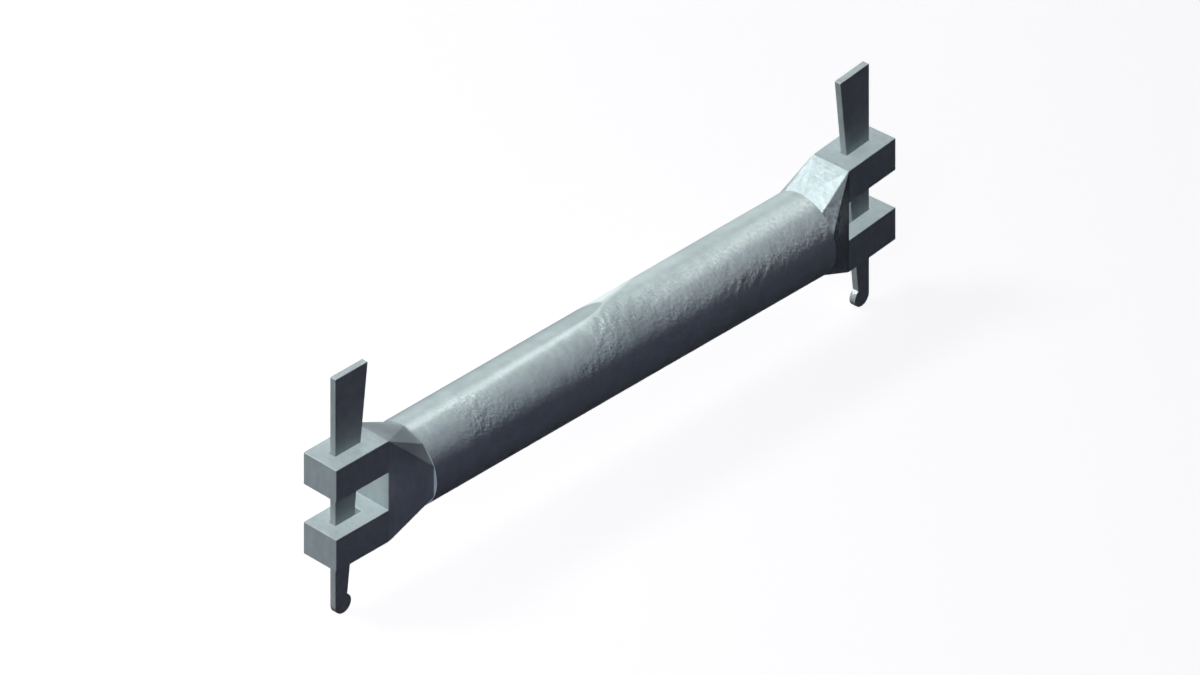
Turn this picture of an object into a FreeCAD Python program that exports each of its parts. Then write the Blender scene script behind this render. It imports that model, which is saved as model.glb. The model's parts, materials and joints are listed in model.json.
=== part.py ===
"""Scaffold ledger: a steel tube with a cast wedge head welded to each end and a loose wedge in each head.

X runs along the tube, Z is up, and the origin is on the tube's axis, half way along it.
Each head is drawn in its own frame first: the origin is the centre of the tube's end, x runs out of the
tube towards the jaws' end faces, and z is up.
"""
import FreeCAD, Part
import os
from math import cos, radians, sin, sqrt, tan

# Tube, in millimetres
TUBE_DIAMETER = 48.3
TUBE_WALL = 3.2
TUBE_LENGTH = 291.0

# Heads: two jaws with a gap between them for the ring plate, and a neck that runs out to the tube
HEAD_WIDTH = 24.0
JAW_THICKNESS = 20.0
JAW_GAP = 23.8
JAW_LENGTH = 38.1
NECK_LENGTH = 23.1
NECK_CORNER_ANGLES = (22.8, 54.6, 90.0)  # degrees up from the tube's side to its top
RIGHT_HEAD_YAW = 6.0  # degrees, about the centre of the tube's end

# Spigot inside the tube, with a core hole that narrows into the neck
SPIGOT_LENGTH = 18.0
SPIGOT_CLEARANCE = 0.2
SPIGOT_WALL = 5.0
CORE_DEPTH = 12.0
CORE_END_RADIUS = 7.0

# Weld metal in the bevel of the tube's end, dressed flush with the tube
WELD_WIDTH = 3.0
WELD_ROOT_FACE = 0.6

# Wedge: straight outer edge, slanted inner edge, round nose at the foot
WEDGE_THICKNESS = 4.0
WEDGE_TOP_WIDTH = 23.6
WEDGE_TAPER = 6.1  # degrees
WEDGE_SETBACK = 9.4  # from the jaws' end faces to the outer edge
WEDGE_ABOVE_JAW = 47.8
NOSE_BELOW_JAW_TOP = 96.3  # from the upper jaw's top face down to the nose's centre
NOSE_RADIUS = 5.75
SLOT_SIDE_CLEARANCE = 0.25
SLOT_OUTER_CLEARANCE = 0.3
SLOT_INNER_CLEARANCE = 0.1

# Worked out from the sizes above
TUBE_RADIUS = TUBE_DIAMETER / 2
TUBE_BORE_RADIUS = TUBE_RADIUS - TUBE_WALL
HEAD_LENGTH = NECK_LENGTH + JAW_LENGTH
HEAD_HEIGHT = 2 * JAW_THICKNESS + JAW_GAP
JAW_TOP = HEAD_HEIGHT / 2
SPIGOT_RADIUS = TUBE_BORE_RADIUS - SPIGOT_CLEARANCE
WELD_ROOT_RADIUS = TUBE_BORE_RADIUS + WELD_ROOT_FACE
WEDGE_OUTER_EDGE = HEAD_LENGTH - WEDGE_SETBACK
WEDGE_TOP = JAW_TOP + WEDGE_ABOVE_JAW
NOSE_Z = JAW_TOP - NOSE_BELOW_JAW_TOP

X_AXIS = FreeCAD.Vector(1, 0, 0)
Z_AXIS = FreeCAD.Vector(0, 0, 1)
ORIGIN = FreeCAD.Vector(0, 0, 0)


def turned_ring(section):
    """Solid of revolution about the X axis, from (x, radius) points."""
    points = [FreeCAD.Vector(x, 0, radius) for x, radius in section]
    face = Part.Face(Part.makePolygon(points + points[:1]))
    return face.revolve(ORIGIN, X_AXIS, 360)


def block(x_range, width, z_range):
    """Box centred across y, between two x values and two z values."""
    (x0, x1), (z0, z1) = x_range, z_range
    return Part.makeBox(x1 - x0, width, z1 - z0, FreeCAD.Vector(x0, -width / 2, z0))


def flat_face(*corners):
    """Plane face with these corners, in order."""
    return Part.Face(Part.makePolygon(list(corners) + [corners[0]]))


def ledger_tube():
    """Hollow tube whose ends are bevelled outside for the welds."""
    end = TUBE_LENGTH / 2
    return turned_ring([
        (-end, TUBE_BORE_RADIUS),
        (-end, WELD_ROOT_RADIUS),
        (-end + WELD_WIDTH, TUBE_RADIUS),
        (end - WELD_WIDTH, TUBE_RADIUS),
        (end, WELD_ROOT_RADIUS),
        (end, TUBE_BORE_RADIUS),
    ])


def weld():
    """Ring of weld metal that fills the tube's bevel, in the head's frame."""
    return turned_ring([(0, WELD_ROOT_RADIUS), (0, TUBE_RADIUS), (-WELD_WIDTH, TUBE_RADIUS)])


def neck(yaw):
    """Flat-sided transition from a polygon inside the tube's outline to the jaws' rectangle.

    Each corner of the rectangle fans out in triangles to the polygon's corners in its own quadrant. One
    triangle closes the top, one the bottom, and a quad each side. The yaw turns only the rectangle.
    """
    turn = FreeCAD.Rotation(Z_AXIS, yaw)

    def corner(side, level):
        return turn.multVec(FreeCAD.Vector(NECK_LENGTH, side * HEAD_WIDTH / 2, level * JAW_TOP))

    def on_tube(side, level, angle):
        return FreeCAD.Vector(
            0, side * TUBE_RADIUS * cos(radians(angle)), level * TUBE_RADIUS * sin(radians(angle)))

    first, last = NECK_CORNER_ANGLES[0], NECK_CORNER_ANGLES[-1]
    faces = []
    for level in (-1, 1):
        faces.append(flat_face(corner(-1, level), corner(1, level), on_tube(1, level, last)))
        for side in (-1, 1):
            for low, high in zip(NECK_CORNER_ANGLES, NECK_CORNER_ANGLES[1:]):
                faces.append(flat_face(
                    corner(side, level), on_tube(side, level, low), on_tube(side, level, high)))
    for side in (-1, 1):
        faces.append(flat_face(
            corner(side, -1), corner(side, 1), on_tube(side, 1, first), on_tube(side, -1, first)))

    # The polygon, once round the tube's end: up one side, down the other, and back underneath.
    up = list(NECK_CORNER_ANGLES)
    down = up[-2::-1]
    polygon = [on_tube(1, 1, angle) for angle in up] + [on_tube(-1, 1, angle) for angle in down]
    polygon += [on_tube(-1, -1, angle) for angle in up] + [on_tube(1, -1, angle) for angle in down]
    faces.append(flat_face(*polygon))
    faces.append(flat_face(corner(-1, -1), corner(1, -1), corner(1, 1), corner(-1, 1)))
    return Part.makeSolid(Part.makeShell(faces))


def wedge_width(z):
    """Width of the wedge at a height, from its straight outer edge to its slanted inner edge."""
    return WEDGE_TOP_WIDTH - (WEDGE_TOP - z) * tan(radians(WEDGE_TAPER))


def jaws():
    """Upper and lower jaw, with the gap between them and the wedge's slot through both."""
    whole = block((NECK_LENGTH, HEAD_LENGTH), HEAD_WIDTH, (-JAW_TOP, JAW_TOP))
    gap = block((NECK_LENGTH, 2 * HEAD_LENGTH), 2 * HEAD_WIDTH, (-JAW_GAP / 2, JAW_GAP / 2))
    slot = block(
        (WEDGE_OUTER_EDGE - wedge_width(JAW_TOP) - SLOT_INNER_CLEARANCE,
         WEDGE_OUTER_EDGE + SLOT_OUTER_CLEARANCE),
        WEDGE_THICKNESS + 2 * SLOT_SIDE_CLEARANCE,
        (-HEAD_HEIGHT, HEAD_HEIGHT))
    return whole.cut(gap).cut(slot)


def head(yaw):
    """Cast head: jaws, neck and a spigot with a core hole that reaches into the neck."""
    turned_jaws = jaws()
    turned_jaws.rotate(ORIGIN, Z_AXIS, yaw)
    spigot = Part.makeCylinder(SPIGOT_RADIUS, SPIGOT_LENGTH, ORIGIN, -X_AXIS)
    core_radius = SPIGOT_RADIUS - SPIGOT_WALL
    core = turned_ring([
        (-SPIGOT_LENGTH, 0),
        (-SPIGOT_LENGTH, core_radius),
        (0, core_radius),
        (CORE_DEPTH, CORE_END_RADIUS),
        (CORE_DEPTH, 0),
    ])
    return neck(yaw).fuse([turned_jaws, spigot]).cut(core).removeSplitter()


def wedge(yaw):
    """Flat wedge: its outline is a tapered blade that ends in a round nose, wider than the blade's foot."""
    lean = radians(WEDGE_TAPER)
    # The nose touches the outer edge and crosses the slanted edge at a notch above its centre.
    nose_to_slant = (wedge_width(NOSE_Z) - NOSE_RADIUS) * cos(lean)
    half_chord = sqrt(NOSE_RADIUS ** 2 - nose_to_slant ** 2)
    notch_depth = NOSE_RADIUS + nose_to_slant * cos(lean) + half_chord * sin(lean)
    notch_z = NOSE_Z - nose_to_slant * sin(lean) + half_chord * cos(lean)

    def at(depth, z):
        return FreeCAD.Vector(WEDGE_OUTER_EDGE - depth, -WEDGE_THICKNESS / 2, z)

    top_outer, top_inner = at(0, WEDGE_TOP), at(WEDGE_TOP_WIDTH, WEDGE_TOP)
    notch, foot, side = at(notch_depth, notch_z), at(NOSE_RADIUS, NOSE_Z - NOSE_RADIUS), at(0, NOSE_Z)
    outline = Part.Wire([
        Part.makeLine(top_outer, top_inner),
        Part.makeLine(top_inner, notch),
        Part.Arc(notch, foot, side).toShape(),
        Part.makeLine(side, top_outer),
    ])
    blade = Part.Face(outline).extrude(FreeCAD.Vector(0, WEDGE_THICKNESS, 0))
    blade.rotate(ORIGIN, Z_AXIS, yaw)
    return blade


def at_end(shape, end):
    """Place a shape drawn in the head's frame on the tube's left (-1) or right (+1) end."""
    placed = shape.copy()
    if end < 0:
        placed.rotate(ORIGIN, Z_AXIS, 180)
    placed.translate(X_AXIS * (end * TUBE_LENGTH / 2))
    return placed


nodes = {"ledger_tube": ledger_tube()}
for name, end, yaw in (("left", -1, 0.0), ("right", 1, RIGHT_HEAD_YAW)):
    nodes[f"{name}_head"] = at_end(head(yaw), end)
    nodes[f"{name}_weld"] = at_end(weld(), end)
    nodes[f"{name}_wedge"] = at_end(wedge(yaw), end)

os.makedirs("parts", exist_ok=True)
for name, shape in nodes.items():
    shape.exportStep(f"parts/{name}.step")
    box = shape.BoundBox
    print(name, shape.ShapeType, shape.isValid(), len(shape.Solids), round(shape.Volume), "mm3",
          [round(v, 2) for v in (box.XMin, box.YMin, box.ZMin, box.XMax, box.YMax, box.ZMax)])
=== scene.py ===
import json
from math import pi, radians
from types import SimpleNamespace

import bmesh
import bpy
import numpy as np
from mathutils import Matrix, Vector


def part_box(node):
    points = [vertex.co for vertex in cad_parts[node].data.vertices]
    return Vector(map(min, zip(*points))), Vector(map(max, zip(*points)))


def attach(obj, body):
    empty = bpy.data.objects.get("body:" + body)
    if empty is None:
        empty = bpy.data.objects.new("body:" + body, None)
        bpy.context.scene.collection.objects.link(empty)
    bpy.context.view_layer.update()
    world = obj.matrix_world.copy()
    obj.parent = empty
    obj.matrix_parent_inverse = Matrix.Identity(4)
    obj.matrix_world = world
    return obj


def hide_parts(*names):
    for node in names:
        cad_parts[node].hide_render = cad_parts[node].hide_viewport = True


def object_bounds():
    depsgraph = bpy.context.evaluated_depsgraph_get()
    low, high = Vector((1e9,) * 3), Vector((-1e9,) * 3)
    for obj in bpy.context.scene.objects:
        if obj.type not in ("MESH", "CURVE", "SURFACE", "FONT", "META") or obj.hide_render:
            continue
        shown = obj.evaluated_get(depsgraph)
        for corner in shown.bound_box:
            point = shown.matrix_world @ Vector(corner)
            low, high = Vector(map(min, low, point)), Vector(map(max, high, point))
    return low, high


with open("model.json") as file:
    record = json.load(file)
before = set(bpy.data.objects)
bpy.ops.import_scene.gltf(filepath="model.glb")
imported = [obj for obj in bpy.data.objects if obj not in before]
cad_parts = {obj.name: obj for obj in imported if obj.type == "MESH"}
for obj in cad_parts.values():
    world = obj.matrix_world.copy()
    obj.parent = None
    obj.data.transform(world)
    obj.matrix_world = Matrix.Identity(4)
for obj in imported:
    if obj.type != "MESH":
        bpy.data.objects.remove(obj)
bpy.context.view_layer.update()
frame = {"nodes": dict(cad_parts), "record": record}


# The tube: a length of drawn steel scaffold tube, bevelled at its ends for the welds and hot-dip galvanised
# with the heads already on it. The zinc drained unevenly: most of the left half set smooth, and from half way
# to the right end a thicker run set with a pebbled, wrinkled skin.
TUBE_WALL = 0.0032
WELD_ROOT_FACE = 0.0006
SHARP_ANGLE = radians(35)

tube_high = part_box("ledger_tube")[1]
tube_radius = tube_high.z
tube_end = tube_high.x
bore_radius = tube_radius - TUBE_WALL
root_radius = bore_radius + WELD_ROOT_FACE
weld_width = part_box("left_weld")[1].x + tube_end
skin_end = tube_end - weld_width


def smoothstep(value, low, high, first=0, last=1):
    """Go from first at low to last at high, level at both ends: by 3t squared less 2t cubed."""
    t = np.clip((value - low) / (high - low), 0, 1)
    return first + (last - first) * t * t * (3 - 2 * t)


def bell(value, centre, width):
    """Bell curve: exp of minus the square of the way from the centre, in widths."""
    return np.exp(-((value - centre) / width) ** 2)


def turn_bell(angle, centre, width):
    """Bell curve round the tube, by the shorter way round, with its centre and width in degrees."""
    apart = (angle - radians(centre) + pi) % (2 * pi) - pi
    return bell(apart, 0, radians(width))


def spot_share(along, angle, x, length, turn, width):
    """Share of a soft spot on the tube: a bell curve along x times one round the tube."""
    return bell(along, x, length) * turn_bell(angle, turn, width)


def course(along, points):
    """Value at each x of a course through (x, value) points: straight between them."""
    return np.interp(along, *np.array(points).T)


def wave_field(along, angle, sizes, lean, spread, waves, seed):
    """Sum of plane waves over the unrolled tube, scaled to a standard deviation of 1.

    Each wave has a size from crest to crest, drawn between the two sizes, and a heading in degrees from x
    towards the rising angle, drawn about lean with the standard deviation spread. It is a cosine of x plus a
    whole number of turns of the angle, so the field closes on itself round the tube. Longer waves are higher,
    so all are as steep.
    """
    draw = np.random.default_rng(seed)
    size = np.exp(draw.uniform(*np.log(sizes), waves))
    heading = np.radians(lean + spread * draw.normal(size=waves))
    phase = draw.uniform(0, 2 * pi, waves)
    per_metre = 2 * pi * np.cos(heading) / size
    per_turn = np.round(2 * pi * np.sin(heading) / size * tube_radius)
    field = np.zeros(np.broadcast_shapes(along.shape, angle.shape))
    for wave in range(waves):
        field += size[wave] * np.cos(per_metre[wave] * along + per_turn[wave] * angle + phase[wave])
    return field / np.sqrt((size ** 2).sum() / 2)


# The run's edge, as degrees up from the tube's front and x
RUN_EDGE = (
    (-60, -0.022), (20, -0.043), (35, -0.040), (45, -0.034), (55, -0.025), (65, -0.019), (86, -0.015),
    (92.5, -0.0065), (96, -0.001), (102, 0.0045), (107, 0.0052), (112, 0.0045), (120, 0.0025), (130, -0.001),
    (165, -0.004), (230, -0.006))


def run_edge(angle):
    """Where the thick run starts, as x: straight between the points of its course round the tube."""
    turns, places = np.array(RUN_EDGE).T
    return np.interp(angle, np.radians(turns), places, period=2 * pi)


# How far along x the borders of the pebbled zinc wander, and the long waves that they follow
DRIFT = 0.003
DRIFT_WAVES = dict(sizes=(0.02, 0.06), lean=0, spread=90, waves=24, seed=3)


def drift(along, angle):
    """How far a border of the zinc has wandered along x: a field of long waves."""
    return DRIFT * wave_field(along, angle, **DRIFT_WAVES)


# Where the zinc is pebbled: a fade is its low, its high and, where they aren't 0 and 1, the shares there
RUN_FADE = (-0.009, 0.011)              # by x past the run's edge
RUN_THINS = (0.02, 0.05, 0.9, 0.48)     # by x
CALM_SPOT = dict(x=0.009, length=0.018, turn=30, width=16)
CALM_SHARE = 0.32                       # what the smooth zinc keeps
PEBBLED_FRONT = dict(centre=52, width=38)
PEBBLED_BACK = dict(centre=255, width=60)
BACK_SHARE = 0.5
FRONT_GAIN = 1.3                        # widens the front to a strip of full share
LUMPY_FADE = (0.05, 0.09, 0, 0.25)      # by x
LUMPY_FRONT = dict(centre=30, width=15)


def pebbled_share(along, angle):
    """How pebbled the zinc is, from 0 to about 1: most on the upper front and fainter behind.

    The run is pebbled from its edge on, less so farther right, and calm on one spot of its lower front. The
    smooth zinc keeps a small share. Towards the right end the lower front is lumpy as well.
    """
    run = smoothstep(along - run_edge(angle) + drift(along, angle), *RUN_FADE)
    run = run * smoothstep(along, *RUN_THINS) * (1 - spot_share(along, angle, **CALM_SPOT))
    front = turn_bell(angle, **PEBBLED_FRONT) + BACK_SHARE * turn_bell(angle, **PEBBLED_BACK)
    front = np.minimum(FRONT_GAIN * front, 1)
    lumps = smoothstep(along, *LUMPY_FADE) * turn_bell(angle, **LUMPY_FRONT)
    return np.maximum(run, CALM_SHARE) * front + lumps


# The wrinkled patch near the left end, and how far along -x it leans with each degree up from a level
PATCH = dict(x=-0.104, length=0.016, turn=60, width=44)
PATCH_LEAN = 0.00022
PATCH_LEVEL = 52


def patch_share(along, angle):
    """How wrinkled the patch near the left end is: a soft spot that leans along -x as the angle rises."""
    lean = PATCH_LEAN * (np.degrees(angle) - PATCH_LEVEL)
    return spot_share(along + drift(along, angle) + lean, angle, **PATCH)


# The zinc's relief: each field's height at one standard deviation, then its waves
COARSE_PEBBLES = dict(height=0.000084, sizes=(0.0055, 0.014), lean=-8, spread=42, waves=130, seed=7)
FINE_PEBBLES = dict(height=0.000038, sizes=(0.0018, 0.0052), lean=-8, spread=46, waves=190, seed=11)
CREASES = dict(height=0.000122, sizes=(0.0042, 0.0100), lean=-28, spread=18, waves=60, seed=23)
RIDGES = dict(height=0.00010, sizes=(0.0036, 0.0072), lean=-40, spread=9, waves=40, seed=34)
HIGHEST_PEBBLE = 1.9                    # in times the height
FINE_FRONT = dict(centre=52, width=48)
FINE_LOW_FRONT = dict(centre=34, width=12)
LOW_FRONT_SHARE = 0.4
PATCH_COARSE, PATCH_FINE, PATCH_CREASES = 0.36, 0.40, 0.42
CREASED_STRIP = dict(x=0.014, length=0.020, turn=72, width=27)  # its x is counted from the run's edge
RIDGED_SPOT = dict(x=0.087, length=0.015, turn=26, width=12)
SKIN_FADE = 0.003                       # the relief fades out over this length beside the welds


def pebbles(along, angle, height, **waves):
    """Height of a field of pebbles below their greatest: a wave field drawn in smoothly towards both ends."""
    field = np.tanh(wave_field(along, angle, **waves) / HIGHEST_PEBBLE)
    return HIGHEST_PEBBLE * height * (field - 1)


def zinc_relief(along, angle):
    """Height of the zinc below the tube's true radius, over x and the angle up from the tube's front.

    Where the zinc is pebbled it has coarse and fine pebbles, the fine ones only on the front. The wrinkled
    patch has shares of both and of the creases, which also follow the run's edge, and slanted ridges cross
    one spot low on the right half. All fade to the true radius at the welds.
    """
    coarse = pebbles(along, angle, **COARSE_PEBBLES)
    fine = pebbles(along, angle, **FINE_PEBBLES)
    fine = fine * (turn_bell(angle, **FINE_FRONT) + LOW_FRONT_SHARE * turn_bell(angle, **FINE_LOW_FRONT))
    creases = pebbles(along, angle, **CREASES)
    ridges = pebbles(along, angle, **RIDGES)
    wrinkles = PATCH_COARSE * coarse + PATCH_FINE * fine + PATCH_CREASES * creases
    height = pebbled_share(along, angle) * (coarse + fine) + patch_share(along, angle) * wrinkles
    height = height + spot_share(along - run_edge(angle), angle, **CREASED_STRIP) * creases
    height = height + spot_share(along, angle, **RIDGED_SPOT) * ridges
    return height * smoothstep(skin_end - np.abs(along), 0, SKIN_FADE)


# The painted highlight line along the left half, as x and degrees, and its half widths above and below in
# degrees
PAINTED_HIGHLIGHT_LINE = (
    (-0.142, 81), (-0.100, 81.3), (-0.080, 83.3), (-0.060, 85), (-0.040, 86.2), (-0.025, 88), (-0.012, 90.5),
    (-0.006, 92.8), (-0.001, 96), (0.005, 102.5))
LINE_ABOVE = ((-0.12, 7.2), (-0.06, 6.0), (-0.025, 4.0), (0, 1.9), (0.006, 1.5))
LINE_BELOW = ((-0.12, 4.6), (-0.06, 6.8), (-0.025, 6.0), (0, 3.6), (0.006, 2.2))
LINE_SHARE = 0.49
LINE_END = (0.004, 0.010, 1, 0)         # by x
WANDER_WAVES = dict(sizes=(0.0025, 0.007), lean=-35, spread=40, waves=90, seed=17)
WANDER, PATCH_WANDER = 0.4, 3.0         # degrees, everywhere and added on the wrinkled patch
SPECKLE_WAVES = dict(sizes=(0.0016, 0.0034), lean=0, spread=60, waves=110, seed=29)
SPECKLE, PATCH_SPECKLE = 0.04, 0.08     # shares, everywhere and added on the wrinkled patch


def painted_highlight_line(along, angle):
    """Thin painted highlight along the top of the left half, which bends up at the run's edge.

    It is a bell curve across the line's course, with a half width of its own to either side. Its lower side
    wanders and all of it is speckled, both more so on the wrinkled patch.
    """
    wrinkled = patch_share(along, angle)
    above = np.degrees(angle) - course(along, PAINTED_HIGHLIGHT_LINE)
    below = above + (WANDER + PATCH_WANDER * wrinkled) * wave_field(along, angle, **WANDER_WAVES)
    line = np.where(
        above > 0, bell(above, 0, course(along, LINE_ABOVE)), bell(below, 0, course(along, LINE_BELOW)))
    speckle = (SPECKLE + PATCH_SPECKLE * wrinkled) * wave_field(along, angle, **SPECKLE_WAVES)
    return line * smoothstep(along, *LINE_END) * (LINE_SHARE + speckle)


# The painted white highlight past the run's edge: how strong, how wide and how softly it opens, by degrees
SLIVER_SHARE = (94, 124, 0, 1.35)
SLIVER_WIDTH = (98, 130, 0.008, 0.056)
SLIVER_OPENING = (105, 127, 0.001, 0.008)
SLIVER_START = (-0.6, 0.8)              # in openings past the run's edge
SLIVER_END = (0.1, 1.0, 1, 0)           # in widths past the run's edge


def painted_highlight_sliver(past, degrees):
    """Painted white highlight on the top: it opens at the run's edge, fades along x and widens as the angle
    rises.
    """
    opened = smoothstep(past / smoothstep(degrees, *SLIVER_OPENING), *SLIVER_START)
    ended = smoothstep(past / smoothstep(degrees, *SLIVER_WIDTH), *SLIVER_END)
    return opened * ended * smoothstep(degrees, *SLIVER_SHARE)


# The painted highlight band along the right half, as x and degrees, its share by x and its half widths in
# degrees
BAND_LINE = ((0.030, 67), (0.060, 71), (0.080, 73.5), (0.100, 75), (0.120, 74.5), (0.135, 75))
BAND_SHARE = ((0.010, 0), (0.040, 0.36), (0.060, 0.56), (0.080, 0.56), (0.100, 0.59), (0.135, 0.62))
BAND_ABOVE = ((0.08, 10), (0.12, 14))
BAND_BELOW = 10.5
LOW_BAND = dict(centre=34, width=21)    # degrees
LOW_BAND_FADE = (0.005, 0.07, 0, 0.34)  # by x
FEATHER = 0.18
FEATHER_WAVES = dict(sizes=(0.0017, 0.0045), lean=-20, spread=55, waves=110, seed=19)


def painted_highlight_bands(along, angle):
    """Painted highlight on the right half's upper front and a fainter one below it, each a bell curve,
    feathered.
    """
    degrees = np.degrees(angle)
    above = degrees - course(along, BAND_LINE)
    half_width = np.where(above > 0, course(along, BAND_ABOVE), BAND_BELOW)
    band = course(along, BAND_SHARE) * bell(above, 0, half_width)
    low_band = smoothstep(along, *LOW_BAND_FADE) * bell(degrees, **LOW_BAND)
    return (1 + FEATHER * wave_field(along, angle, **FEATHER_WAVES)) * (band + low_band)


# The painted light on the run's top: its share by degrees, its start by x past the edge, and two places along
# x
TOP_SHARE = (92, 112, 0, 0.22)
TOP_START = (0, 0.03)
TOP_GAP = dict(centre=0.080, width=0.016)
TOP_CREST = dict(centre=0.045, width=0.018)
GAP_LOSS, CREST_GAIN = 0.8, 0.4


def painted_top_light(along, past, degrees):
    """Painted light on the run's top, with one place along it where it is fainter and one where it is paler.
    """
    places = 1 - GAP_LOSS * bell(along, **TOP_GAP) + CREST_GAIN * bell(along, **TOP_CREST)
    return smoothstep(degrees, *TOP_SHARE) * places * smoothstep(past, *TOP_START)


# The painted shade: before the run's edge, over the top towards the back, and on one spot past the edge
BEFORE_EDGE = (0.002, -0.012, 0, 0.26)  # by x past the edge
BEFORE_RISE = (103, 127)                # by degrees
BACK_RISE = (114, 130, 0, 0.25)         # by degrees
BACK_FADE = (0, 0.02, 1, 0.4)           # by x
PAINTED_SHADE_SPOT = dict(x=0.007, length=0.014, turn=62, width=32)
PAINTED_SHADE_SPOT_SHARE = 0.38


def painted_shade_share(along, angle):
    """How much shade is painted on the zinc: the sum of the painted shade in each of these three places."""
    degrees = np.degrees(angle)
    before = smoothstep(along - run_edge(angle), *BEFORE_EDGE) * smoothstep(degrees, *BEFORE_RISE)
    back = smoothstep(degrees, *BACK_RISE) * smoothstep(along, *BACK_FADE)
    return before + back + PAINTED_SHADE_SPOT_SHARE * spot_share(along, angle, **PAINTED_SHADE_SPOT)


PLAIN_BACK = (132, 144, 1, 0)           # by degrees


def painted_light_shade_share(along, angle):
    """Light or shade painted on the zinc, from -1 for painted shade to 1: the brightest painted light, less
    the shade.

    The back is neither, so the share fades to 0 there.
    """
    past = along - run_edge(angle)
    degrees = np.degrees(angle)
    # The brightest painted highlight or light at each point, less the painted shade
    painted_light_shade = np.maximum.reduce([
        painted_highlight_line(along, angle), painted_highlight_sliver(past, degrees), painted_highlight_bands(along, angle),
        painted_top_light(along, past, degrees)])
    painted_light_shade = painted_light_shade - painted_shade_share(along, angle) * (1 - painted_light_shade)
    return np.clip(painted_light_shade, -1, 1) * smoothstep(degrees, *PLAIN_BACK)


def rough_share(along, angle):
    """How rough the zinc is for its material: what is pebbled and what is wrinkled, added."""
    return pebbled_share(along, angle) + patch_share(along, angle)


def mark_zinc(mesh, along, angle):
    """Keep how rough the zinc is and the light or shade painted on it at each point of a ring, for its
    material.
    """
    for name, share in (("pebbled", rough_share), ("painted_light_shade", painted_light_shade_share)):
        values = share(along, angle).astype(np.float32).ravel()
        mesh.attributes.new(name, "FLOAT", "POINT").data.foreach_set("value", values)


def grid_lines(stops):
    """Places of a grid's lines, from (place, steps to the next stop): evenly spaced between stops."""
    ends = [place for place, steps in stops]
    return np.concatenate([
        np.linspace(place, end, steps, endpoint=False)
        for (place, steps), end in zip(stops, ends[1:])] + [ends[-1:]])


def ring_surface(name, along, angle, radius):
    """Closed skin of a ring round the X axis, from a section carried once round it.

    Section point i at angle j sits at (along, -radius cos angle, radius sin angle), with the angle up from
    the front. The section closes on itself and runs along +x on the outside, so the faces point outwards.
    """
    points, angles = radius.shape
    vertices = np.stack([along, -radius * np.cos(angle), radius * np.sin(angle)], axis=-1)
    grid = np.arange(points * angles).reshape(points, angles)
    ahead = np.roll(grid, -1, axis=0)
    faces = np.stack([grid, ahead, np.roll(ahead, -1, axis=1), np.roll(grid, -1, axis=1)], axis=-1)
    mesh = bpy.data.meshes.new(name)
    mesh.from_pydata(vertices.reshape(-1, 3).tolist(), [], faces.reshape(-1, 4).tolist())
    mesh.shade_smooth()
    mesh.set_sharp_from_angle(angle=SHARP_ANGLE)
    return mesh


def add_piece(mesh, material, body, node):
    """Put a finished mesh in the scene in the place of a CAD node, on that node's body."""
    piece = bpy.data.objects.new(mesh.name, mesh)
    bpy.context.scene.collection.objects.link(piece)
    mesh.materials.append(material)
    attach(piece, body)
    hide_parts(node)
    return piece


class Socket:
    """An output socket of a node tree. Sums, differences and products of values add Math nodes."""

    def __init__(self, tree, output=None):
        self.tree = tree
        self.output = output

    def node(self, kind, settings=None, sockets=None, output=0):
        """Add a node: its type, the settings to set first, then its sockets' values or links."""
        made = self.tree.nodes.new(kind)
        for name, value in (settings or {}).items():
            setattr(made, name, value)
        for name, value in (sockets or {}).items():
            if isinstance(value, Socket):
                self.tree.links.new(value.output, made.inputs[name])
            else:
                made.inputs[name].default_value = value
        return Socket(self.tree, made.outputs[output] if made.outputs else None)

    def maths(self, operation, first, second):
        """Add a Math node for two values."""
        return self.node("ShaderNodeMath", {"operation": operation}, {0: first, 1: second})

    def __add__(self, other):
        return self.maths("ADD", self, other)

    def __radd__(self, other):
        return self.maths("ADD", other, self)

    def __sub__(self, other):
        return self.maths("SUBTRACT", self, other)

    def __rsub__(self, other):
        return self.maths("SUBTRACT", other, self)

    def __mul__(self, other):
        return self.maths("MULTIPLY", self, other)

    def __rmul__(self, other):
        return self.maths("MULTIPLY", other, self)


def clouds(place, size, detail):
    """Cloudy noise over a place, from 0 to 1, of this size and with this much finer noise in it."""
    return place.node(
        "ShaderNodeTexNoise", None, {"Vector": place, "Scale": 1 / size, "Detail": detail}, "Fac")


def swing(noise):
    """Noise from 0 to 1 as its swing to either side of its mean, a half."""
    return noise - 0.5


# Where a Mix node has its factor, its two colours and its mixed colour among its sockets
MIX_FACTOR, MIX_FIRST, MIX_SECOND, MIX_RESULT = 0, 6, 7, 2


def mixed(share, first, second):
    """Colour between two: the first where the share is 0 or less, the second where it is 1 or more."""
    return share.node(
        "ShaderNodeMix", {"data_type": "RGBA", "clamp_factor": True},
        {MIX_FACTOR: share, MIX_FIRST: first, MIX_SECOND: second}, MIX_RESULT)


def scaled(vector, scale):
    """Product of a place or a colour with three numbers, one by one."""
    return vector.node("ShaderNodeVectorMath", {"operation": "MULTIPLY"}, {0: vector, 1: scale}, "Vector")


def coordinate(place, axis):
    """One coordinate of a place."""
    return place.node("ShaderNodeSeparateXYZ", None, {0: place}, axis)


def ramp(value, start, end):
    """Straight rise from 0 at the start to 1 at the end, held beyond both."""
    return value.node(
        "ShaderNodeMapRange", {"clamp": True}, {"Value": value, "From Min": start, "From Max": end})


# Weights of the patches, streaks and grain in the zinc's shade, sheen and relief, and two sizes in patches
PATCH_SHADE, STREAK_SHADE, GRAIN_SHADE = 1.1, 0.7, 0.45
PATCH_SHEEN, STREAK_SHEEN = 0.16, 0.10
GRAIN_RELIEF, STREAK_RELIEF = 0.7, 0.5
MOTTLE_SIZE, SCRATCH_SIZE = 0.30, 0.36
MIDDLE_SHADE = 0.5
ZINC_METALLIC, METALLIC_RANGE = 0.026, 0.014


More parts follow.
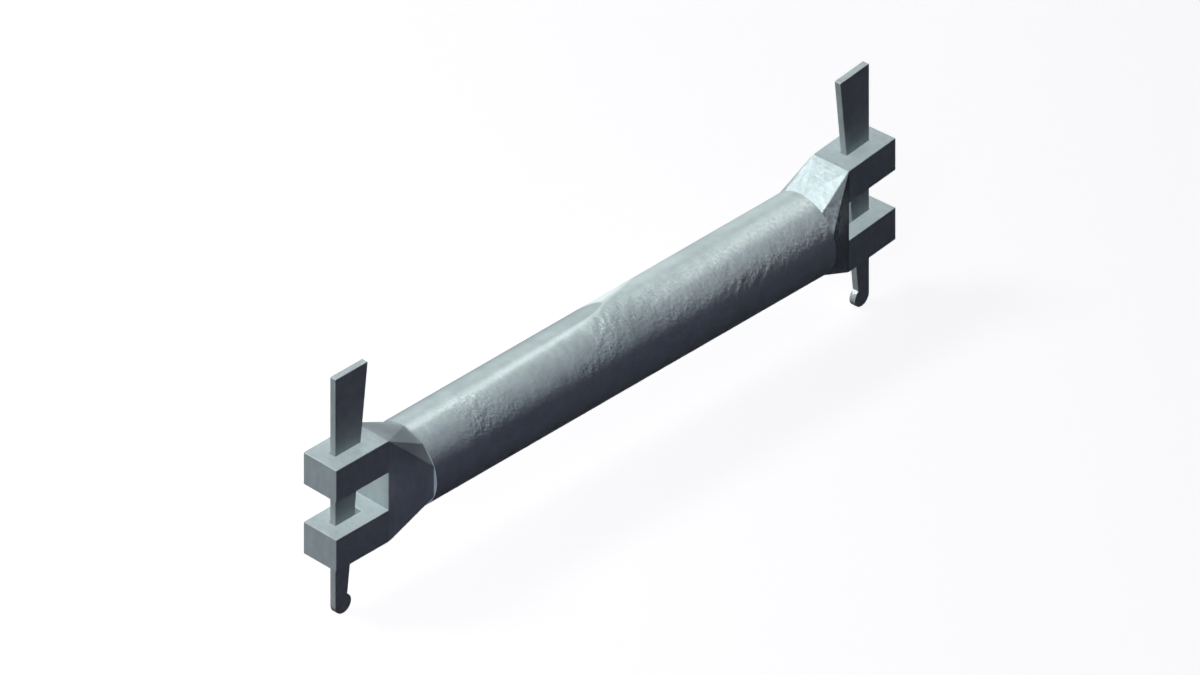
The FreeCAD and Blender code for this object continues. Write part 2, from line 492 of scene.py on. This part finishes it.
def zinc_material(name, dull, pale, roughness, patch_size, grain_size, grain_height, stretch,
                  scratched=0.0, finish=None):
    """Hot-dip zinc: soft cloudy patches of two greys, faint drawn-out streaks and a fine grain.

    stretch scales the coordinates before the streaks are drawn, so they lie along the axis of the least.
    scratched is the weight of finer streaks in the shade. finish is a function that changes what is known of
    the zinc for one kind of piece: its colour, sheen, metallic share and relief.
    """
    material = bpy.data.materials.new(name)
    material.use_nodes = True
    material.node_tree.nodes.clear()
    start = Socket(material.node_tree)
    place = start.node("ShaderNodeTexCoord", output="Object")
    drawn_out = scaled(place, stretch)
    patches = clouds(place, patch_size, detail=4)
    streaks = clouds(drawn_out, patch_size, detail=3)
    grain = clouds(place, grain_size, detail=2)
    mottle = clouds(place, MOTTLE_SIZE * patch_size, detail=4)
    shade = MIDDLE_SHADE + PATCH_SHADE * swing(patches) + STREAK_SHADE * swing(streaks)
    shade = shade + GRAIN_SHADE * swing(grain)
    if scratched:
        shade = shade + scratched * swing(clouds(drawn_out, SCRATCH_SIZE * patch_size, detail=4))
    zinc = SimpleNamespace(
        place=place, patches=patches, mottle=mottle,
        colour=mixed(shade, dull, pale),
        sheen=roughness + PATCH_SHEEN * swing(patches) + STREAK_SHEEN * swing(streaks),
        metallic=ZINC_METALLIC + METALLIC_RANGE * swing(mottle),
        relief=GRAIN_RELIEF * grain + STREAK_RELIEF * streaks)
    if finish:
        finish(zinc)
    normal = start.node(
        "ShaderNodeBump", None, {"Strength": 1.0, "Distance": grain_height, "Height": zinc.relief})
    surface = start.node("ShaderNodeBsdfPrincipled", None, {
        "Base Color": zinc.colour, "Roughness": zinc.sheen, "Metallic": zinc.metallic,
        "Specular IOR Level": 0.0, "Normal": normal})
    start.node("ShaderNodeOutputMaterial", None, {"Surface": surface})
    return material


# The colours of painted highlights and light, and of painted shade, on the zinc
PAINTED_LIGHT_ZINC = (0.84, 0.965, 0.935, 1)
PAINTED_SHADE_ZINC = (0.25, 0.29, 0.31, 1)
# A cooler tint painted low on the tube's front, standing in for bluish fill light
PAINTED_FILL_TINT = (0.955, 0.955, 1.005)
FRONT_LEVELS = (0.0236, 0.0200)         # heights at which the front's tint starts and is whole
PEBBLED_SHEEN = 0.08
SLANT_SIZE = 0.0016
SLANT_RELIEF = 12.0
SLANT_STRETCH = (1.7, 0.7, 0.7)
SLANT_AXIS, SLANT_TURN = (0, -0.7, 0.7), radians(-30)


def drained_and_painted_finish(zinc):
    """The tube's and the welds' own zinc, from the marks on their points.

    It has a coarse slanted grain where it is pebbled, a cooler tint painted low on its front for bluish fill
    light, and painted highlights, painted light and painted shade.
    """
    place = zinc.place
    pebbled = place.node("ShaderNodeAttribute", {"attribute_name": "pebbled"}, output="Fac")
    # The share of painted light (above 0) and painted shade (below 0) kept on the points
    painted_light_shade = place.node("ShaderNodeAttribute", {"attribute_name": "painted_light_shade"}, output="Fac")
    slanted = place.node(
        "ShaderNodeVectorRotate", {"rotation_type": "AXIS_ANGLE"},
        {"Vector": place, "Axis": SLANT_AXIS, "Angle": SLANT_TURN}, "Vector")
    slanted_grain = clouds(scaled(slanted, SLANT_STRETCH), SLANT_SIZE, detail=3)
    zinc.relief = zinc.relief + SLANT_RELIEF * pebbled * slanted_grain
    zinc.sheen = zinc.sheen + PEBBLED_SHEEN * pebbled
    # Painted fill light: the lower front is tinted cooler
    front = ramp(coordinate(place, "Z"), *FRONT_LEVELS)
    fill_tinted = mixed(front, zinc.colour, scaled(zinc.colour, PAINTED_FILL_TINT))
    # Painted shade where that share is below 0, painted light and highlights where it is above
    zinc.colour = mixed(painted_light_shade, mixed(0 - painted_light_shade, fill_tinted, PAINTED_SHADE_ZINC), PAINTED_LIGHT_ZINC)


# The skin's grid, as x or degrees and the steps to the next stop: finest where it is pebbled or wrinkled
skin_x_stops = ((-skin_end, 26), (-0.126, 110), (-0.080, 60), (-0.036, 380), (skin_end, 0))
skin_angle_stops = ((-14, 8), (8, 90), (96, 20), (136, 48), (346, 0))

skin_x = grid_lines(skin_x_stops)[:, None]
skin_angle = np.radians(grid_lines(skin_angle_stops))[None, :-1]
inner_x = np.array([tube_end, tube_end, -tube_end, -tube_end])[:, None]
inner_radius = np.array([root_radius, bore_radius, bore_radius, root_radius])[:, None]
section_x = np.concatenate([skin_x, inner_x])
once_round = np.ones_like(skin_angle)
tube_mesh = ring_surface(
    "scaffold_tube", section_x * once_round, skin_angle,
    np.concatenate([tube_radius + zinc_relief(skin_x, skin_angle), inner_radius * once_round]))
mark_zinc(tube_mesh, section_x, skin_angle)
tube_zinc = zinc_material(
    "tube_zinc", dull=(0.40, 0.485, 0.48, 1), pale=(0.53, 0.632, 0.62, 1), roughness=0.24, patch_size=0.009,
    grain_size=0.0010, grain_height=0.000055, stretch=(2.0, 0.7, 0.7), finish=drained_and_painted_finish)
add_piece(tube_mesh, tube_zinc, "ledger", "ledger_tube")


# The welds: one run of weld metal round each end of the tube, in the groove between the tube's bevel and the
# head, ground flush with the tube before galvanising. Only faint ripples are left of its beads.
RIPPLE_HEIGHT = 0.00004
RIPPLES = 64
RIPPLE_POINTS = 4                       # points round each ripple
RIPPLE_SWEEP = 3                        # how far a ripple bends back across the weld, in radians of its wave
WELD_STEPS = 9

weld_zinc = zinc_material(
    "weld_zinc", dull=(0.37, 0.45, 0.45, 1), pale=(0.54, 0.635, 0.63, 1), roughness=0.26, patch_size=0.009,
    grain_size=0.0007, grain_height=0.00004, stretch=(2.0, 0.7, 0.7), finish=drained_and_painted_finish)
weld_angle = np.linspace(0, 2 * pi, RIPPLE_POINTS * RIPPLES, endpoint=False)[None, :]
across = np.linspace(0, 1, WELD_STEPS)[:, None]
beads = 1 + np.cos(RIPPLES * weld_angle - RIPPLE_SWEEP * across ** 2)
ripple = -RIPPLE_HEIGHT * np.sin(pi * across) * beads
for side, low_x, root_x in (("left", -tube_end, -tube_end), ("right", skin_end, tube_end)):
    weld_x = np.concatenate([low_x + weld_width * across, [[root_x]]]) * np.ones_like(weld_angle)
    weld_radius = np.concatenate([tube_radius + ripple, np.full_like(weld_angle, root_radius)])
    weld_mesh = ring_surface(f"{side}_weld_ring", weld_x, weld_angle, weld_radius)
    mark_zinc(weld_mesh, weld_x, weld_angle)
    add_piece(weld_mesh, weld_zinc, "ledger", f"{side}_weld")


# The heads: a steel casting at each end, with two jaws that take a ring plate between them, a slot for the
# wedge, a flat-faced neck and a spigot inside the tube. Its corners are eased by fettling and by the zinc.
HEAD_EDGE = 0.0004
EDGE_SEGMENTS = 3
MERGE_STEP = 1e-6
FLAT_ANGLE = radians(0.5)
EASED_ANGLE = radians(15)

# The right neck's pebbled zinc, with flecks that are stronger on its front above the middle
NECK_PEBBLED = (0.171, 0.164)           # the x where it starts and the x where it is whole
NECK_GRAIN_SIZE, NECK_GRAIN_RELIEF = 0.0042, 3.0
FLECK_SIZE = 0.0026
FLECKS, FRONT_FLECKS = 0.5, 1.8         # weights, everywhere on the neck and added on its front
FRONT_Y, FRONT_Z = (-0.0125, -0.0150), (-0.004, 0.006)  # where that front starts and is whole

# Soft spots on the zinc: the centre, the radius and, for the coloured ones, the colour and its share
SPOT_PEAK, SPOT_FALL = 1.6, 1.2         # a spot is whole to half its radius and ends at 4/3 of it
SPOT_RAGGED, GLINT_RAGGED = 0.8, 1.2    # how far clouds move a spot's border
GLINT = ((0.163, -0.017, 0.010), 0.011)
GLINT_METALLIC = 0.060
# Painted shade darkens the left neck's facets and the outer ends of the left jaws' tops; painted light
# brightens the left gap's wall and its lower jaw's top
PAINTED_LIGHT_SHADE_SPOTS = (
    ((-0.1545, -0.010, 0.029), 0.0145, PAINTED_SHADE_ZINC, 0.76),    # the left neck's front facets
    ((-0.1645, 0.010, 0.033), 0.0115, PAINTED_SHADE_ZINC, 0.60),     # its top facet
    ((-0.164, -0.004, 0.002), 0.012, PAINTED_LIGHT_ZINC, 0.32),    # the wall of the left gap
    ((-0.184, -0.007, -0.0135), 0.014, PAINTED_LIGHT_ZINC, 0.12),  # the left lower jaw's top
    ((-0.203, 0.006, -0.005), 0.010, PAINTED_SHADE_ZINC, 0.24),      # the outer end of that top
    ((-0.203, 0.002, 0.040), 0.010, PAINTED_SHADE_ZINC, 0.22))       # the outer end of the left upper jaw's top


def soft_spot(place, centre, radius, ragged):
    """Share of a round spot: a straight fall with the distance from its centre, held between 1 and 0.

    ragged is added to the fall, so it moves the spot's border in and out.
    """
    away = place.node("ShaderNodeVectorMath", {"operation": "DISTANCE"}, {0: place, 1: centre}, "Value")
    return place.node("ShaderNodeClamp", None, {"Value": SPOT_PEAK - away * (SPOT_FALL / radius) + ragged})


def casting_finish(zinc):
    """The castings' own zinc: a pebbled, flecked right neck with a glint on it, and spots of painted shade
    and painted light.
    """
    place = zinc.place
    x = coordinate(place, "X")
    on_right = x.maths("GREATER_THAN", x, 0.0)
    on_neck = ramp(x, *NECK_PEBBLED) * on_right
    on_front = ramp(coordinate(place, "Y"), *FRONT_Y) * ramp(coordinate(place, "Z"), *FRONT_Z)
    zinc.relief = zinc.relief + NECK_GRAIN_RELIEF * on_neck * clouds(place, NECK_GRAIN_SIZE, detail=4)
    flecks = (FLECKS + FRONT_FLECKS * on_front) * on_neck * swing(clouds(place, FLECK_SIZE, detail=3))
    zinc.colour = place.node(
        "ShaderNodeVectorMath", {"operation": "SCALE"}, {0: zinc.colour, "Scale": 1 + flecks}, "Vector")
    glint = soft_spot(place, *GLINT, GLINT_RAGGED * swing(zinc.mottle))
    zinc.metallic = zinc.metallic + GLINT_METALLIC * glint
    # Soft spots of painted shade and painted light
    for centre, radius, colour, share in PAINTED_LIGHT_SHADE_SPOTS:
        spot = soft_spot(place, centre, radius, SPOT_RAGGED * swing(zinc.patches))
        zinc.colour = mixed(share * spot, zinc.colour, colour)


def merged_copy(name, node):
    """Copy of a CAD solid as one closed skin: equal corners are merged and flat triangles joined."""
    source = frame["nodes"][node].data
    places = np.empty(3 * len(source.vertices), np.float32)
    source.vertices.foreach_get("co", places)
    corners = np.empty(len(source.loops), np.int32)
    source.loops.foreach_get("vertex_index", corners)
    steps, merged = np.unique(
        np.round(places.reshape(-1, 3) / MERGE_STEP).astype(int), axis=0, return_inverse=True)
    triangles = merged.ravel()[corners].reshape(-1, 3)
    mesh = bpy.data.meshes.new(name)
    mesh.from_pydata((steps * MERGE_STEP).tolist(), [], triangles.tolist())
    skin = bmesh.new()
    skin.from_mesh(mesh)
    bmesh.ops.dissolve_limit(skin, angle_limit=FLAT_ANGLE, verts=skin.verts, edges=skin.edges)
    skin.to_mesh(mesh)
    skin.free()
    mesh.shade_smooth()
    return mesh


def ease_edges(piece, width):
    """Round a piece's sharp edges to this width and keep its flat faces flat."""
    bevel = piece.modifiers.new("eased_edges", "BEVEL")
    bevel.width = width
    bevel.segments = EDGE_SEGMENTS
    bevel.limit_method = "ANGLE"
    bevel.angle_limit = EASED_ANGLE
    bevel.harden_normals = True


head_zinc = zinc_material(
    "head_zinc", dull=(0.376, 0.454, 0.462, 1), pale=(0.446, 0.535, 0.541, 1), roughness=0.30,
    patch_size=0.009, grain_size=0.0011, grain_height=0.00009, stretch=(2.2, 0.85, 0.35), scratched=2.3,
    finish=casting_finish)
for side in ("left", "right"):
    casting = add_piece(
        merged_copy(f"{side}_head_casting", f"{side}_head"), head_zinc, "ledger", f"{side}_head")
    ease_edges(casting, HEAD_EDGE)


# The wedges: tapered blades cut from 4 mm steel plate, loose in the heads' slots. The round nose at the foot
# is wider than the blade beside it, so a lifted wedge leans over and hooks under the upper jaw.
WEDGE_SETBACK = 0.0094                  # from the jaws' end faces to the blade's straight outer edge
WEDGE_TAPER = radians(6.1)
NOSE_RADIUS = 0.00575
WEDGE_EDGE = 0.0003
WEDGE_CORNER = 0.0005
NOTCH_STEP = 0.00002                    # the slanted edge and its shading stop this short of the notch
ARC_STEP = radians(6)
EDGE_STEPS = 5

wedge_low, wedge_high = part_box("left_wedge")
wedge_width = wedge_high.x - wedge_low.x
wedge_thickness = wedge_high.y - wedge_low.y


def arc(centre, radius, start, stop):
    """Points on a circle and their outward directions, from one angle to another in small equal steps."""
    angle = np.linspace(start, stop, round(abs(stop - start) / ARC_STEP) + 1)
    outward = np.stack([np.cos(angle), np.sin(angle)], axis=-1)
    return np.array(centre) + radius * outward, outward


def wedge_outline():
    """Outline of the blade from the side, as (depth from the outer edge, height), and outward directions.

    It runs from the top's two rounded corners down the slanted edge, round the nose and up the straight
    edge. The notch is where the slanted edge's line crosses the nose's circle above its centre.
    """
    nose = np.array([NOSE_RADIUS, wedge_low.z + NOSE_RADIUS])
    slant_out = np.array([np.cos(WEDGE_TAPER), -np.sin(WEDGE_TAPER)])
    slant_up = np.array([np.sin(WEDGE_TAPER), np.cos(WEDGE_TAPER)])
    beside = (np.array([wedge_width, wedge_high.z]) - nose) @ slant_out
    notch = beside * slant_out + np.sqrt(NOSE_RADIUS ** 2 - beside ** 2) * slant_up
    shoulder = wedge_high.z - WEDGE_CORNER
    inner = wedge_width - WEDGE_CORNER * (np.tan(WEDGE_TAPER) + 1 / np.cos(WEDGE_TAPER))
    slant_end = nose + notch + NOTCH_STEP * slant_up
    stretches = (
        arc((WEDGE_CORNER, shoulder), WEDGE_CORNER, pi, pi / 2),
        arc((inner, shoulder), WEDGE_CORNER, pi / 2, -WEDGE_TAPER),
        (slant_end[None], slant_out[None]),
        arc(nose, NOSE_RADIUS, np.arctan2(notch[1], notch[0]), -pi),
    )
    points, directions = zip(*stretches)
    return np.concatenate(points), np.concatenate(directions)


def wedge_blade(name, end, outwards):
    """Blade of even thickness, set back from the jaws' end faces.

    The outline is carried across the plate, drawn in along a quarter circle where it nears each face, and
    both faces are closed. Each point's normal turns with that quarter circle, so the faces stay flat.
    """
    points, directions = wedge_outline()
    turn = np.linspace(0, pi / 2, EDGE_STEPS)
    to_side = np.concatenate([np.sin(turn), np.sin(turn)[::-1]])
    to_face = np.concatenate([-np.cos(turn), np.cos(turn)[::-1]])
    near_face = np.repeat([-1, 1], EDGE_STEPS)
    plate = near_face * (wedge_thickness / 2 - WEDGE_EDGE) + WEDGE_EDGE * to_face
    drawn_in = WEDGE_EDGE * (1 - to_side)
    outline = points[None] - drawn_in[:, None, None] * directions[None]
    facing = to_side[:, None, None] * directions[None]
    sideways = Vector((0, 0, 1)).cross(outwards)
    depth = WEDGE_SETBACK + outline[..., 0]
    vertices = np.stack([
        end.x - depth * outwards.x + plate[:, None] * sideways.x,
        end.y - depth * outwards.y + plate[:, None] * sideways.y,
        outline[..., 1]], axis=-1)
    normals = np.stack([
        -facing[..., 0] * outwards.x + to_face[:, None] * sideways.x,
        -facing[..., 0] * outwards.y + to_face[:, None] * sideways.y,
        facing[..., 1]], axis=-1)
    rows, columns = outline.shape[:2]
    grid = np.arange(rows * columns).reshape(rows, columns)
    beyond = np.roll(grid, -1, axis=1)
    quads = np.stack([grid[:-1], grid[1:], beyond[1:], beyond[:-1]], axis=-1).reshape(-1, 4)
    faces = quads.tolist() + [grid[0].tolist(), grid[-1][::-1].tolist()]
    mesh = bpy.data.meshes.new(name)
    mesh.from_pydata(vertices.reshape(-1, 3).tolist(), [], faces)
    mesh.shade_smooth()
    mesh.normals_split_custom_set_from_vertices(normals.reshape(-1, 3).tolist())
    return mesh


wedge_zinc = zinc_material(
    "wedge_zinc", dull=(0.350, 0.408, 0.412, 1), pale=(0.490, 0.560, 0.562, 1), roughness=0.30,
    patch_size=0.008, grain_size=0.0006, grain_height=0.00004, stretch=(1.5, 1.5, 0.5), scratched=1.0)
mounts = {mount["name"]: mount for mount in frame["record"]["mounts"]}
for side in ("left", "right"):
    end_face = mounts[f"{side}_end_face"]
    blade = wedge_blade(f"{side}_wedge_blade", Vector(end_face["pos_m"]), Vector(end_face["axis"]))
    add_piece(blade, wedge_zinc, f"{side}_wedge", f"{side}_wedge")


# The studio: a pale floor under the wedges' noses and a soft lamp high behind on the left, most of whose
# light casts no shadow. Four lamps show only as gloss on the zinc, a faint bluish one fills the front, and
# the camera stands at the photograph's angle, without perspective.
FLOOR_SIZE = 40.0
FLOOR_PAPER = (0.92, 0.92, 0.92, 1)
FLOOR_GLOW = 0.195
FLOOR_BOUNCE = (0.02, 0.02, 0.03, 1)    # the floor's colour for the light that it sends back to the ledger
WHITE = (1, 1, 1, 1)
SKY_LIGHT = (0.70, 0.65, 0.85, 1)
SKY_STRENGTH = 0.008


def seen_share(start):
    """1 where the background is seen straight, in a gloss or through glass, and 0 for soft light."""
    camera_ray, glossy_ray, transmission_ray = (
        start.node("ShaderNodeLightPath", output=f"Is {ray} Ray")
        for ray in ("Camera", "Glossy", "Transmission"))
    return camera_ray + glossy_ray + transmission_ray


floor_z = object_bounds()[0].z
floor_corners = FLOOR_SIZE / 2 * np.array([(-1, -1), (1, -1), (1, 1), (-1, 1)])
floor_mesh = bpy.data.meshes.new("floor")
floor_mesh.from_pydata([(x, y, floor_z) for x, y in floor_corners.tolist()], [], [(0, 1, 2, 3)])
floor = bpy.data.objects.new("floor", floor_mesh)
bpy.context.scene.collection.objects.link(floor)
floor_paint = bpy.data.materials.new("floor_paint")
floor_paint.use_nodes = True
floor_paint.node_tree.nodes.clear()
paint = Socket(floor_paint.node_tree)
paper = paint.node("ShaderNodeBsdfDiffuse", None, {"Color": FLOOR_PAPER})
glow = paint.node("ShaderNodeEmission", None, {"Color": WHITE, "Strength": FLOOR_GLOW})
seen_floor = paint.node("ShaderNodeAddShader", None, {0: paper, 1: glow})
bounce = paint.node("ShaderNodeBsdfDiffuse", None, {"Color": FLOOR_BOUNCE})
floor_surface = paint.node("ShaderNodeMixShader", None, {0: seen_share(paint), 1: bounce, 2: seen_floor})
paint.node("ShaderNodeOutputMaterial", None, {"Surface": floor_surface})
floor_mesh.materials.append(floor_paint)

world = bpy.data.worlds.new("studio")
bpy.context.scene.world = world
world.use_nodes = True
world.node_tree.nodes.clear()
sky = Socket(world.node_tree)
seen_sky = sky.node("ShaderNodeBackground", None, {"Color": WHITE, "Strength": 1.0})
sky_light = sky.node("ShaderNodeBackground", None, {"Color": SKY_LIGHT, "Strength": SKY_STRENGTH})
around = sky.node("ShaderNodeMixShader", None, {0: seen_share(sky), 1: sky_light, 2: seen_sky})
sky.node("ShaderNodeOutputWorld", None, {"Surface": around})

# The lamps: the direction each stands in from what it is aimed at, its distance, sizes and power
KEY_PLACE = dict(direction=(-0.39, 0.37, 0.81), distance=8.0, size=(1.8, 1.8))
KEY_POWER = 635.0
KEY_SHADOW_SHARE = 0.07                 # the rest of the key light fills what the first part shades
RIGHT_NECK = (0.155, 0, 0.027)
RIGHT_NOSE = (0.185, 0, -0.062)
LEFT_OF_TUBE = (-0.33, 0, 0)
GLOSS_LAMPS = {
    "neck_gloss": dict(direction=(-0.075, 0.58, 0.81), distance=3.0, size=(4.25, 1.1), power=608.0,
                       aim=RIGHT_NECK, long_axis=(0.27, 0.81, -0.53)),
    "facet_gloss": dict(direction=(-0.2, 0.09, 0.97), distance=1.2, size=(0.8, 0.6), power=22.3,
                        aim=RIGHT_NECK),
    "nose_gloss": dict(direction=(-0.55, 0.58, 0.55), distance=0.45, size=(0.26, 0.26), power=0.9,
                       aim=RIGHT_NOSE, spread=radians(50)),
    "tube_gloss": dict(direction=(0.577, 0.46, 0.67), distance=1.2, size=(0.7, 0.11), power=4.6,
                       aim=LEFT_OF_TUBE),
}
FRONT_FILL = dict(direction=(-0.607, -0.418, 0.678), distance=4.0, size=(1.0, 1.0), power=18.4)
FRONT_FILL_COLOUR = (0.68, 0.61, 0.93)


def softbox(name, direction, distance, size, power, aim=(0, 0, 0), long_axis=(1, 0, 0), spread=pi):
    """Rectangular lamp that faces a point from a direction, unseen by the camera."""
    lamp = bpy.data.lights.new(name, "AREA")
    lamp.shape = "RECTANGLE"
    lamp.size, lamp.size_y = size
    lamp.energy = power
    lamp.spread = spread
    holder = bpy.data.objects.new(name, lamp)
    bpy.context.scene.collection.objects.link(holder)
    back = Vector(direction).normalized()
    up = back.cross(Vector(long_axis)).normalized()
    right = up.cross(back)
    turned = Matrix((right, up, back)).transposed().to_4x4()
    holder.matrix_world = Matrix.Translation(Vector(aim) + distance * back) @ turned
    holder.visible_camera = False
    return holder


softbox("key", **KEY_PLACE, power=KEY_POWER * KEY_SHADOW_SHARE)
key_fill = softbox("key_fill", **KEY_PLACE, power=KEY_POWER * (1 - KEY_SHADOW_SHARE))
key_fill.data.use_shadow = False
for name, lamp in GLOSS_LAMPS.items():
    softbox(name, **lamp).visible_diffuse = False
front_fill = softbox("front_fill", **FRONT_FILL)
front_fill.data.color = FRONT_FILL_COLOUR
front_fill.data.use_shadow = False
front_fill.visible_glossy = False

# The camera: the photograph's size and the pixel in it that shows the ledger's origin
PHOTO_WIDTH, PHOTO_HEIGHT = 1200, 675
PIXELS_PER_METRE = 1939.7
ORIGIN_PIXEL = (603.41, 348.64)
CAMERA_AZIMUTH = radians(-45)
CAMERA_ELEVATION = radians(35.264)
CAMERA_DISTANCE = 2.0

camera = bpy.data.cameras.new("camera")
camera.type = "ORTHO"
camera.ortho_scale = PHOTO_WIDTH / PIXELS_PER_METRE
camera_holder = bpy.data.objects.new("camera", camera)
bpy.context.scene.collection.objects.link(camera_holder)
view_turn = Matrix.Rotation(CAMERA_AZIMUTH, 4, "Z") @ Matrix.Rotation(pi / 2 - CAMERA_ELEVATION, 4, "X")
across_view = (PHOTO_WIDTH / 2 - ORIGIN_PIXEL[0]) / PIXELS_PER_METRE
up_view = (ORIGIN_PIXEL[1] - PHOTO_HEIGHT / 2) / PIXELS_PER_METRE
camera_holder.matrix_world = view_turn @ Matrix.Translation((across_view, up_view, CAMERA_DISTANCE))
bpy.context.scene.camera = camera_holder
bpy.context.scene.view_settings.view_transform = "Standard"
